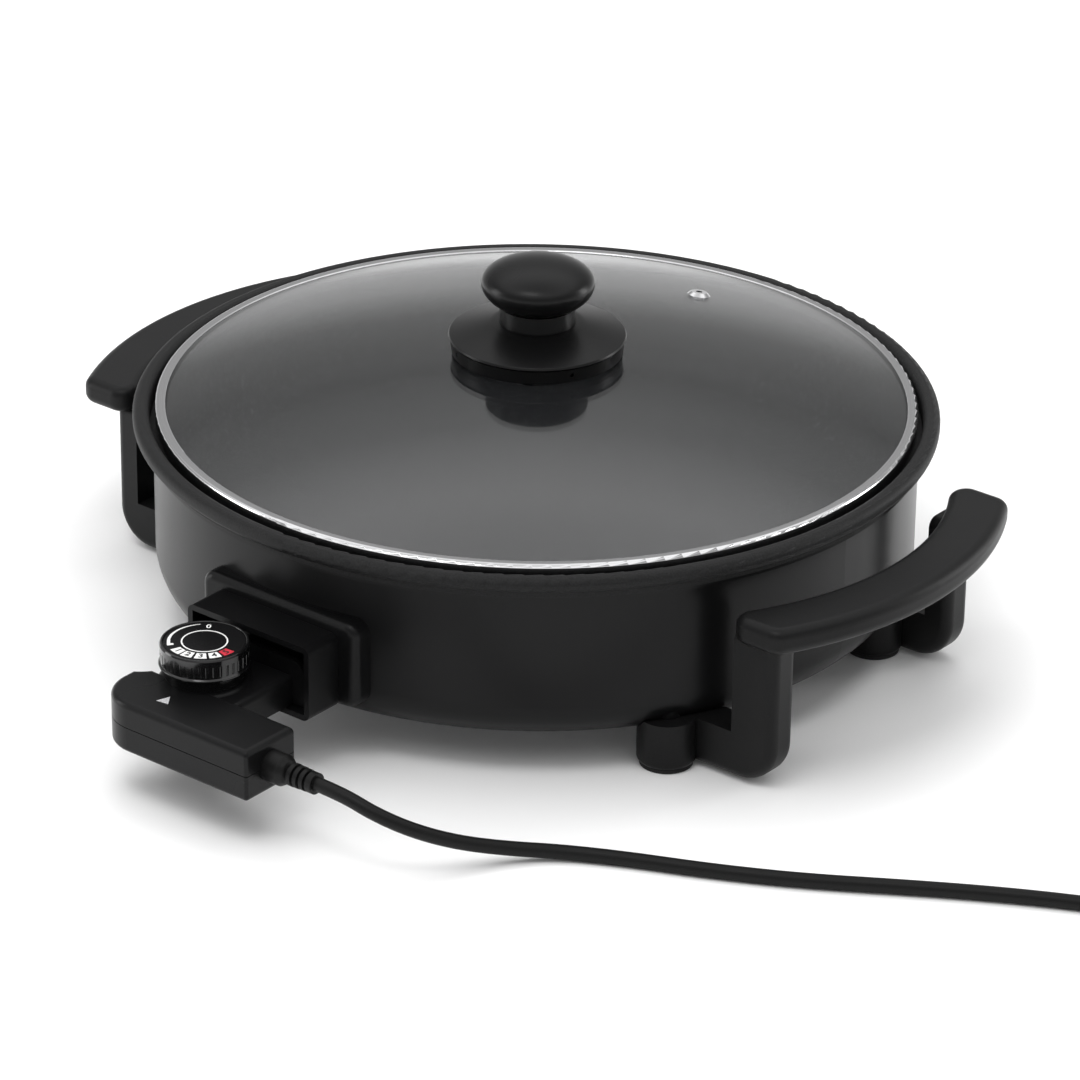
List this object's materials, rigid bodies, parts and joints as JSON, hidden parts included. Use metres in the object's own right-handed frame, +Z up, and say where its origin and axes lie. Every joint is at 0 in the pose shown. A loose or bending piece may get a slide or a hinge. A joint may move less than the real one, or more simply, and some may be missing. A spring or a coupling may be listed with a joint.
{
  "type": "electric skillet",
  "caption": "Round electric skillet with a domed glass lift-off lid, two leg-and-grip side handles and a plug-in dial heat control on a long cord.",
  "frame": {"origin": "on the table, under the middle of the object's box without its cord; the pan's axis stands 42 mm towards +Y", "axes": "+Z is up; the socket and heat control face -Y; the handles lie on +X and -X"},
  "size_m": [0.8131, 0.484, 0.1855],
  "materials": {
    "pan_enamel": "satin",
    "steel_plate": "satin",
    "steel_fastener": "satin",
    "heater_steel": "matte",
    "silicone": "matte",
    "black_plastic": "satin",
    "foot_rubber": "matte",
    "lid_glass": "gloss",
    "polished_band": "polished",
    "knob_plastic": "satin",
    "control_plastic": "satin",
    "switch_plastic": "matte",
    "brass_contact": "satin",
    "grey_print": "matte",
    "cord_rubber": "satin",
    "gloss_black": "gloss"
  },
  "bodies": {
    "base": {"cooking_pan": "pan_enamel", "base_cover": "steel_plate", "base_cover_screws": "steel_fastener", "heating_element": "heater_steel", "terminal_pins": "steel_fastener", "element_seals": "silicone", "probe_guide": "steel_plate", "socket_shroud": "black_plastic", "socket_frame": "black_plastic", "socket_screws": "steel_fastener", "right_handle": "black_plastic", "left_handle": "black_plastic", "foot_pads": "foot_rubber", "foot_screws": "steel_fastener"},
    "lid": {"lid_glass": "lid_glass", "lid_band": "polished_band", "steam_vent": "steel_plate", "knob_base": "knob_plastic", "knob_gasket": "silicone", "knob_neck": "knob_plastic", "knob_cap": "knob_plastic", "under_lid_cap": "knob_plastic", "knob_screw": "steel_fastener"},
    "control": {"control_upper_shell": "control_plastic", "control_lower_shell": "control_plastic", "control_screws": "steel_fastener", "thermostat_switch": "switch_plastic", "probe_rod": "polished_band", "contact_sleeves": "brass_contact", "pointer_mark": "grey_print", "strain_relief": "cord_rubber", "power_cord": "cord_rubber", "cord_coil": "cord_rubber", "plug_body": "cord_rubber", "plug_blades": "brass_contact"},
    "dial": {"dial": "gloss_black", "dial_face": "grey_print", "dial_shaft": "switch_plastic"}
  },
  "joints": [
    {"name": "lid_lift", "type": "slide", "parent": "base", "child": "lid", "axis": [0, 0, 1], "range_m": [0, 0.12]},
    {"name": "controller_pull", "type": "slide", "parent": "base", "child": "control", "axis": [0, -1, 0], "range_m": [0, 0.095]},
    {"name": "dial_turn", "type": "hinge", "parent": "control", "child": "dial", "pos_m": [-0.0065, -0.1963, 0.06], "axis": [0, 0, 1], "range_deg": [-98, 134]}
  ]
}
